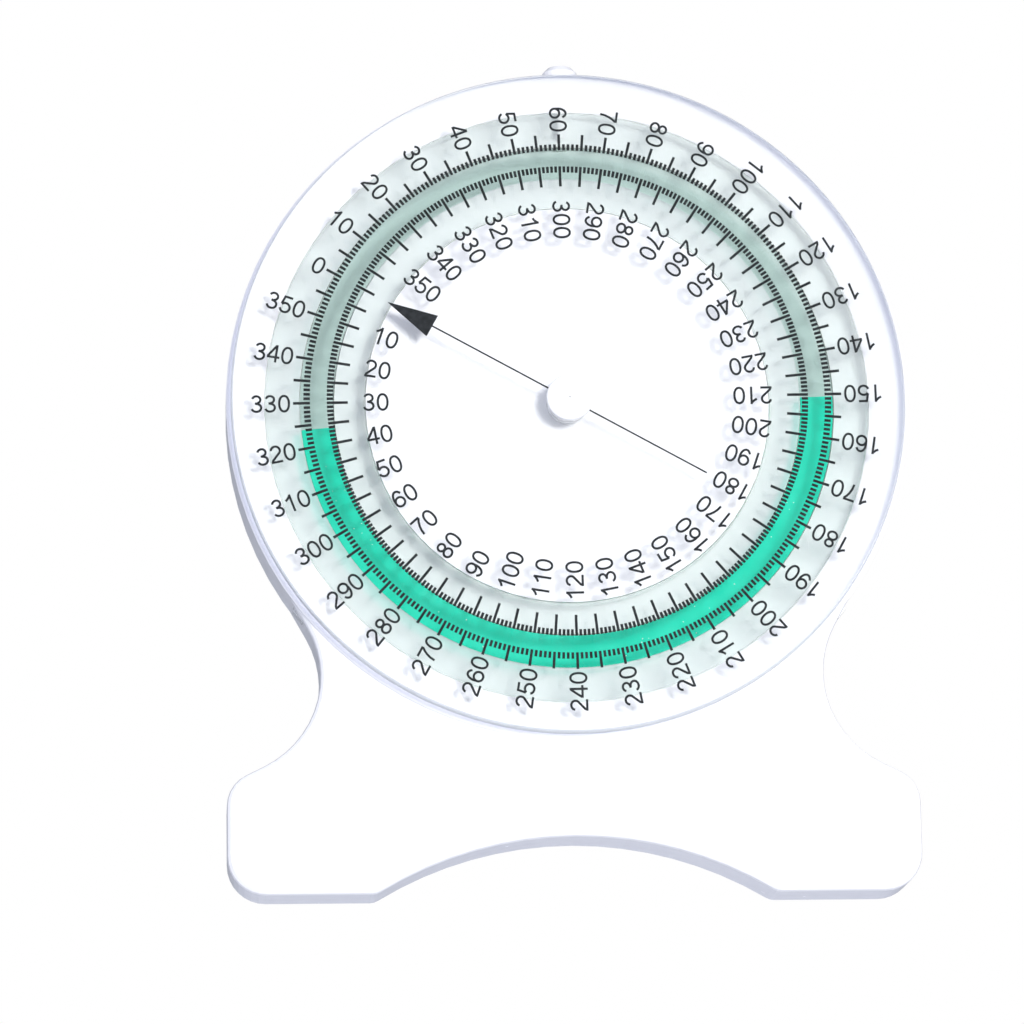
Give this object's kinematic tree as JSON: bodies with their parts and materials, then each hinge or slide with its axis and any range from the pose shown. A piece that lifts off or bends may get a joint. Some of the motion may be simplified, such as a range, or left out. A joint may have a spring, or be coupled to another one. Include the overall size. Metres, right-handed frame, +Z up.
{
  "type": "fluid inclinometer",
  "caption": "Flat white instrument with two feet, a clear ring capsule half full of green fluid and a clear turning dial with a centre knob.",
  "frame": {"origin": "centre of the bounding box's bottom, between the two feet on the surface it stands on", "axes": "+Z up through the dial's centre, +X to the right seen from the front, -Y out of the dial's face"},
  "size_m": [0.0894, 0.0126, 0.1109],
  "materials": {
    "white_plastic": "gloss white moulding",
    "clear_plastic": "clear, faintly green",
    "fluid": "translucent green fluid",
    "nylon": "natural nylon",
    "zinc_steel": "zinc plated"
  },
  "bodies": {
    "housing": {"front_housing": "white_plastic", "back_cover": "white_plastic", "capsule_front": "clear_plastic", "capsule_back": "clear_plastic", "fill_plug": "white_plastic", "locating_peg_left": "clear_plastic", "locating_peg_right": "clear_plastic", "thrust_washer": "nylon", "wave_washer": "zinc_steel", "cover_screw_1": "zinc_steel", "cover_screw_2": "zinc_steel", "cover_screw_3": "zinc_steel", "cover_screw_4": "zinc_steel", "cover_screw_5": "zinc_steel", "cover_screw_6": "zinc_steel"},
    "dial": {"dial_disc": "clear_plastic", "dial_knob": "white_plastic", "retaining_washer": "zinc_steel", "retaining_screw": "zinc_steel"},
    "fluid": {"level_fluid": "fluid"}
  },
  "joints": [
    {"name": "dial_turn", "type": "hinge", "parent": "housing", "child": "dial", "pos_m": [0, 0, 0.0643], "axis": [0, -1, 0], "continuous": true},
    {"name": "fluid_level", "type": "hinge", "parent": "housing", "child": "fluid", "pos_m": [0, 0, 0.0643], "axis": [0, -1, 0], "continuous": true}
  ]
}
